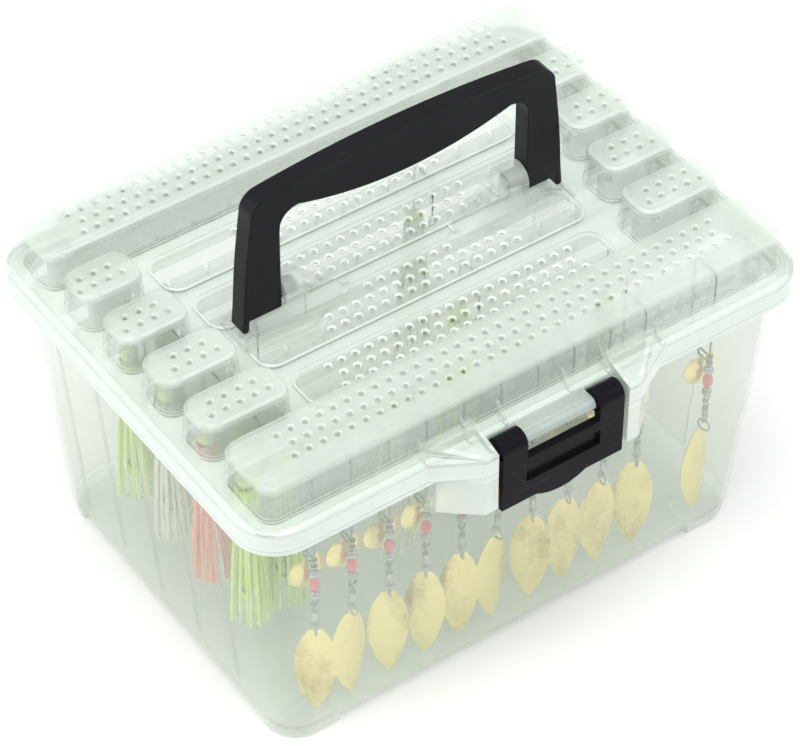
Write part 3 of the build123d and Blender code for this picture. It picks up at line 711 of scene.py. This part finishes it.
class TACKLE_OT_latch(bpy.types.Operator):
    """Model the black front latch"""
    bl_idname = "tackle.latch"
    bl_label = "Latch"

    def execute(self, context):
        settings = context.scene.tackle_hardware
        pivot = JOINTS["latch_pivot"]
        front, half = LATCH_LOW.y, LATCH_HIGH.x
        finish = black_finish("Black latch", tuple(settings.black), 0.22, 0.2, 0.05)
        side = [(front, PLATE_LOW), (front, pivot.z), (front + 4.4 * MM, pivot.z), *PLATE_BACK]
        plate = drawn_slab([(-half, y, z) for y, z in side], (2 * half, 0, 0))
        cut(plate, block((-KNUCKLE_GAP, front - THROUGH, GAP_LOW),
                         (KNUCKLE_GAP, front + 2 * THROUGH, GAP_HIGH)))
        cut(plate, block((-SLOT_HALF, front - THROUGH, SLOT_LOW),
                         (SLOT_HALF, front + settings.slot_depth, SLOT_HIGH)))
        self.round_off(plate, settings.latch_edge)
        parts = [plate]
        for way in (-1, 1):
            knuckle = round_bar((way * KNUCKLE_GAP, pivot.y, pivot.z), (way * half, pivot.y, pivot.z),
                                pivot.y - front, 40)
            self.round_off(knuckle, settings.latch_edge)
            parts.append(knuckle)
            for step in range(3):
                centre = way * (0.0235 + 0.0032 * step)
                rib = block((centre - 0.6 * MM, pivot.y - 1.9 * MM, pivot.z + 4.6 * MM),
                            (centre + 0.6 * MM, pivot.y + 1.7 * MM, pivot.z + 6.1 * MM))
                self.round_off(rib, 0.25 * MM)
                parts.append(rib)
        lip = [(x, z) for x, z in arc((-17.0, 123.6), (0.0, 117.5), (17.0, 123.6), 16)] + [(17.0, 123.6)]
        lip = drawn_slab([(x * MM, front + 0.9 * MM, z * MM) for x, z in lip], (0, 1.5 * MM, 0))
        self.round_off(lip, 0.4 * MM)
        rib = block((-0.021, -0.1225, 0.1285), (0.021, -0.1164, 0.1317))
        self.round_off(rib, 0.5 * MM)
        latch = join(parts + [lip, rib])
        smooth(latch)
        dress(latch, "front_latch", finish, "latch", "black_plastic", "latch")
        return {"FINISHED"}

    @staticmethod
    def round_off(piece, width):
        apply_modifier(piece, "BEVEL", width=width, segments=3, limit_method="ANGLE",
                       angle_limit=math.radians(35))


def leaf(half_width, tall, cup, bow, width_at, rows=30, columns=9):
    """A cupped metal leaf with a hole near its top, hung from the origin with its face towards -Y."""
    clear_selection()
    bpy.ops.mesh.primitive_grid_add(x_subdivisions=columns, y_subdivisions=rows, size=1.0,
                                    rotation=(math.pi / 2, 0, 0))
    piece = bpy.context.object
    settle(piece)
    edit(piece)
    bpy.ops.mesh.select_mode(type="FACE")
    mesh = bmesh.from_edit_mesh(piece.data)
    second_row = 0.5 - 1.5 / rows
    for face in mesh.faces:
        middle = face.calc_center_median()
        face.select_set(abs(middle.x) < 1.5 / columns and abs(middle.z - second_row) < 0.5 / rows)
    bmesh.update_edit_mesh(piece.data)
    bpy.ops.mesh.delete(type="FACE")
    bpy.ops.mesh.select_mode(type="VERT")
    for column in range(columns + 1):
        x = column / columns - 0.5
        choose(piece, lambda place: abs(place.x - x) < 1e-4)
        bpy.ops.transform.translate(value=(0, cup * (2 * x) ** 2 / (2 * half_width), 0))
    for row in range(rows + 1):
        t = row / rows
        choose(piece, lambda place: abs(place.z - (0.5 - t)) < 1e-4)
        wide = 2 * half_width * max(width_at(t), 0.02)
        bpy.ops.transform.resize(value=(wide, wide, 1.0), center_override=(0, 0, 0))
        drop = -t * tall - (0.5 - t)
        bpy.ops.transform.translate(value=(0, bow * math.sin(math.pi * t), drop))
    settle(piece)
    apply_modifier(piece, "SUBSURF", levels=1, render_levels=1)
    return piece


class TACKLE_OT_long_blades(bpy.types.Operator):
    """Model the long hammered leaf blades"""
    bl_idname = "tackle.long_blades"
    bl_label = "Long Blades"

    def execute(self, context):
        settings = context.scene.tackle_lure
        finish = gold_finish(tuple(settings.gold))
        found = islands("willow_blades")
        tall = found[0][2].z - found[0][1].z
        blade = leaf(9.7 * MM, tall, 1.8 * MM, 0.8 * MM, lambda t: max(0.0, math.sin(math.pi * t)) ** 0.68)
        apply_modifier(blade, "SOLIDIFY", thickness=settings.blade_sheet, offset=0.0)
        smooth(blade, 50.0)
        places = [(Matrix.Translation((middle.x, middle.y, high.z)) @ Matrix.Rotation(turn, 4, "Z"), 0)
                  for middle, low, high, turn in found]
        spread_copies(blade, places, "long_blade", [finish], "gold_blade", "willow_blades")
        return {"FINISHED"}


class TACKLE_OT_round_blades(bpy.types.Operator):
    """Model the small round cupped blades"""
    bl_idname = "tackle.round_blades"
    bl_label = "Round Blades"

    def execute(self, context):
        settings = context.scene.tackle_lure
        finish = gold_finish(tuple(settings.gold))
        found = islands("small_blades")
        tall = found[0][2].z - found[0][1].z
        blade = leaf(tall / 2, tall, 2.4 * MM, -1.6 * MM,
                     lambda t: math.sqrt(max(0.0, 1 - (2 * t - 1) ** 2)), 16)
        apply_modifier(blade, "SOLIDIFY", thickness=settings.blade_sheet, offset=0.0)
        smooth(blade, 50.0)
        places = [(Matrix.Translation((middle.x, middle.y, high.z)), 0) for middle, low, high, turn in found]
        spread_copies(blade, places, "round_blade", [finish], "gold_blade", "small_blades")
        return {"FINISHED"}


class TACKLE_OT_skirts(bpy.types.Operator):
    """Model the stranded rubber skirts"""
    bl_idname = "tackle.skirts"
    bl_label = "Skirts"

    def execute(self, context):
        settings = context.scene.tackle_lure
        found = islands("skirts")
        tall = found[0][2].z - found[0][1].z
        wide = (found[0][2].x - found[0][1].x) / 2
        skirt = self.strands(settings.strands, tall * settings.skirt_length, wide)
        finishes = [rubber_finish("Green skirt", tuple(settings.skirt)),
                    rubber_finish("Orange skirt", tuple(settings.tail)),
                    rubber_finish("Pale skirt", PALE_SKIRT)]
        places = [(Matrix.Translation((middle.x, middle.y, high.z)) @ Matrix.Rotation(number * 0.7, 4, "Z"),
                   SKIRT_FINISHES.get(number, 2)) for number, (middle, low, high, turn) in enumerate(found)]
        spread_copies(skirt, places, "skirt", finishes, "skirt_rubber", "skirts")
        return {"FINISHED"}

    @staticmethod
    def strands(count, tall, wide):
        """A bundle of thin strands that spread a little towards their ends."""
        clear_selection()
        bpy.ops.mesh.primitive_cylinder_add(vertices=5, radius=STRAND_RADIUS, depth=tall * 0.97,
                                            location=(STRAND_OUT, 0, -tall * 0.49))
        piece = bpy.context.object
        settle(piece)
        edit(piece)
        for part, out in STRAND_BENDS[:-1]:
            bpy.ops.mesh.select_all(action="SELECT")
            bpy.ops.mesh.bisect(plane_co=(0, 0, -tall * part), plane_no=(0, 0, 1))
        spread = wide - 4.6 * MM
        for part, out in STRAND_BENDS:
            choose(piece, lambda place: abs(place.z + tall * part) < tall * 0.02)
            bpy.ops.transform.translate(value=(spread * out, 0, 0))
        chance = random.Random(11)
        bpy.ops.mesh.select_all(action="SELECT")
        for number in range(1, count):
            bpy.ops.mesh.duplicate()
            bpy.ops.transform.rotate(value=GOLDEN_ANGLE + chance.uniform(-0.2, 0.2), orient_axis="Z",
                                     center_override=(0, 0, 0))
            inward = chance.uniform(0.90, 1.0) if number % 2 else 1.0 / chance.uniform(0.90, 1.0)
            bpy.ops.transform.resize(value=(inward, inward, 1.0), center_override=(0, 0, 0))
        choose(piece, lambda place: math.hypot(place.x, place.y) > wide)
        bpy.ops.transform.resize(value=(0.9, 0.9, 1.0), center_override=(0, 0, 0))
        settle(piece)
        smooth(piece, 60.0)
        return piece


class TACKLE_OT_stage(bpy.types.Operator):
    """Set the floor, the soft lights and the camera"""
    bl_idname = "tackle.stage"
    bl_label = "Stage"

    def execute(self, context):
        settings = context.scene.tackle_stage
        self.floor(settings)
        world = bpy.data.worlds.new("White surround")
        context.scene.world = world
        world.use_nodes = True
        surround = world.node_tree.nodes["Background"]
        surround.inputs["Color"].default_value = (1.0, 1.0, 1.0, 1.0)
        surround.inputs["Strength"].default_value = settings.sky
        look_at = Vector(settings.look_at)
        for name, place, size, part in SOFT_BOXES:
            bpy.ops.object.light_add(type="AREA", location=place)
            light = context.object
            light.name = light.data.name = name
            light.data.size, light.data.energy = size, settings.key * part
            light.rotation_euler = (look_at - Vector(place)).to_track_quat("-Z", "Y").to_euler()
        azimuth, elevation = settings.azimuth, settings.elevation
        back = Vector((math.sin(azimuth) * math.cos(elevation), -math.cos(azimuth) * math.cos(elevation),
                       math.sin(elevation)))
        bpy.ops.object.camera_add(location=look_at + back * settings.distance)
        camera = context.object
        camera.data.lens = settings.lens
        facing = (-back).to_track_quat("-Z", "Y") @ Matrix.Rotation(settings.roll, 3, "Z").to_quaternion()
        camera.rotation_euler = facing.to_euler()
        context.scene.camera = camera
        context.scene.view_settings.view_transform = "Standard"
        return {"FINISHED"}

    @staticmethod
    def floor(settings):
        clear_selection()
        bpy.ops.mesh.primitive_plane_add(size=12.0)
        floor = bpy.context.object
        floor.name = "floor"
        finish = Finish("Pale floor", roughness=0.7)
        finish.feed("Base Color", finish.blend(finish.noise(3.0, 2.0), tuple(settings.floor),
                                               tuple(channel * 0.985 for channel in settings.floor)))
        floor.data.materials.append(finish.material)


class TACKLE_PT_panel(bpy.types.Panel):
    """Buttons for the tackle box's pieces"""
    bl_idname = "TACKLE_PT_panel"
    bl_label = "Tackle Box"
    bl_space_type = "VIEW_3D"
    bl_region_type = "UI"
    bl_category = "Tackle Box"

    def draw(self, context):
        for operator in OPERATORS:
            self.layout.operator(operator.bl_idname)
        for group in SETTINGS:
            settings = getattr(context.scene, group)
            box = self.layout.box()
            for field in settings.bl_rna.properties.keys():
                if field not in ("rna_type", "name"):
                    box.prop(settings, field)


OPERATORS = (TACKLE_OT_shell, TACKLE_OT_racks, TACKLE_OT_pins, TACKLE_OT_small_metal, TACKLE_OT_handle,
             TACKLE_OT_latch, TACKLE_OT_long_blades, TACKLE_OT_round_blades, TACKLE_OT_skirts,
             TACKLE_OT_stage)
SETTINGS = {"tackle_shell": TackleShellSettings, "tackle_hardware": TackleHardwareSettings,
            "tackle_lure": TackleLureSettings, "tackle_stage": TackleStageSettings}
CLASSES = (*SETTINGS.values(), *OPERATORS, TACKLE_PT_panel)


def register():
    for one in CLASSES:
        bpy.utils.register_class(one)
    for name, group in SETTINGS.items():
        setattr(bpy.types.Scene, name, bpy.props.PointerProperty(type=group))


def unregister():
    for name in SETTINGS:
        delattr(bpy.types.Scene, name)
    for one in reversed(CLASSES):
        bpy.utils.unregister_class(one)


def main():
    register()
    for operator in OPERATORS:
        group, name = operator.bl_idname.split(".")
        getattr(getattr(bpy.ops, group), name)()


if __name__ == "__main__":
    main()
